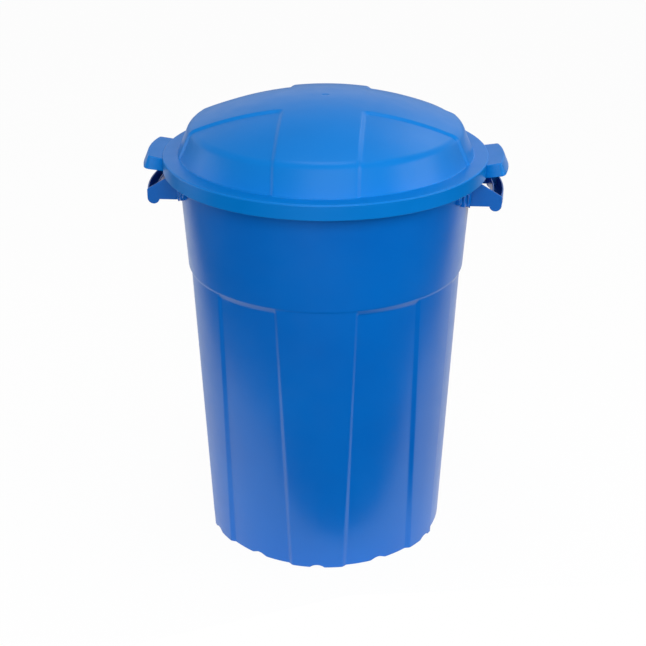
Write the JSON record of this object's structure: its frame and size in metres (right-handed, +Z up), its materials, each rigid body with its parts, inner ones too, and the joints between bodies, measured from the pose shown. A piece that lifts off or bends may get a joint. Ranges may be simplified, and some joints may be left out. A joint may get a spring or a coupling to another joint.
{
  "type": "recycling bin",
  "caption": "Round tapered plastic recycling bin with a panelled wall, a handle on each side and a lift-off domed lid with lifting tabs.",
  "frame": {"origin": "on the ground at the middle of the base", "axes": "+Z up along the bin's axis, -Y towards the front, handles on +X and -X"},
  "size_m": [0.6282, 0.56, 0.8075],
  "materials": {
    "bin_plastic": "satin moulded polyethylene, blue",
    "handle_plastic": "satin moulded polyethylene, blue",
    "lid_plastic": "satin moulded polyethylene, blue"
  },
  "bodies": {
    "bin": {"bin_body": "bin_plastic", "left_handle": "handle_plastic", "right_handle": "handle_plastic"},
    "lid": {"lid": "lid_plastic"}
  },
  "joints": [
    {"name": "lid_lift", "type": "slide", "parent": "bin", "child": "lid", "axis": [0, 0, 1], "range_m": [0, 0.5]}
  ]
}
